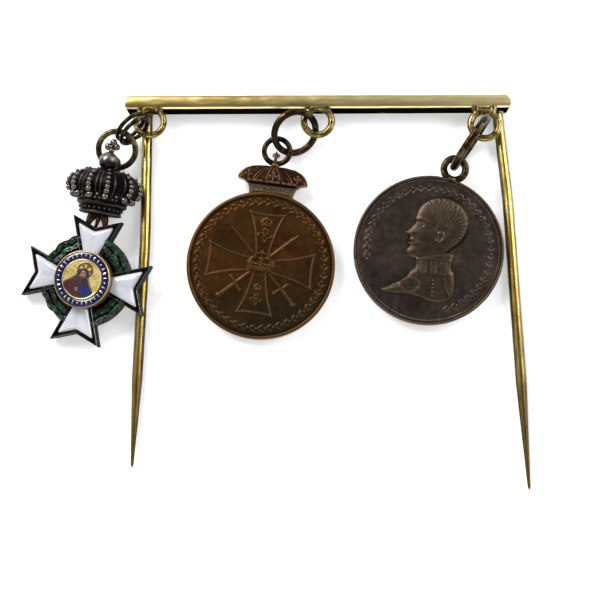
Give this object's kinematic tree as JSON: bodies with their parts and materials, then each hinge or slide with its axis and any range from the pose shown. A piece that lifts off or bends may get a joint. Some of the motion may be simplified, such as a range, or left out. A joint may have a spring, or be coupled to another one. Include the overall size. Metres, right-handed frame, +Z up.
{
  "type": "mounted medal group",
  "caption": "Miniature decorations hung by jump rings from a gilt pin bar with two long prongs, lying flat: an enamelled crowned cross and round cast medals.",
  "frame": {"origin": "middle of the bar's back face, on the surface that the group lies on", "axes": "+X along the bar, towards the dark round medal; +Y away from the prongs' tips; +Z up, towards the faces of the decorations"},
  "size_m": [0.0579, 0.0457, 0.0077],
  "materials": {
    "gilt_brass": "softly polished, worn gilt with darker streaks",
    "dark_bronze": "dark oxidised round wire, bright along the top",
    "ring_brass": "dull brass wire",
    "oxidised_silver": "cast silver, black in the recesses",
    "gilt_silver": "pale gold, satin",
    "brown_bronze": "warm brown patina, lighter on the relief",
    "dark_copper": "dark purple-brown patina, olive on the relief",
    "white_enamel": "glossy opaque enamel",
    "green_enamel": "glossy translucent enamel over cut leaves",
    "blue_enamel": "glossy enamel"
  },
  "bodies": {
    "root": {"pin_bar": "gilt_brass", "split_ring": "dark_bronze", "badge_ring": "ring_brass", "badge_frame": "oxidised_silver", "medallion": "gilt_silver", "medallion_enamel": "blue_enamel", "centre_ring": "dark_bronze", "right_ring": "dark_bronze", "centre_medal": "brown_bronze", "right_medal": "dark_copper", "arm_enamel_1": "white_enamel", "wreath_1": "green_enamel", "arm_enamel_2": "white_enamel", "wreath_2": "green_enamel", "arm_enamel_3": "white_enamel", "wreath_3": "green_enamel", "arm_enamel_4": "white_enamel", "wreath_4": "green_enamel"}
  },
  "joints": []
}
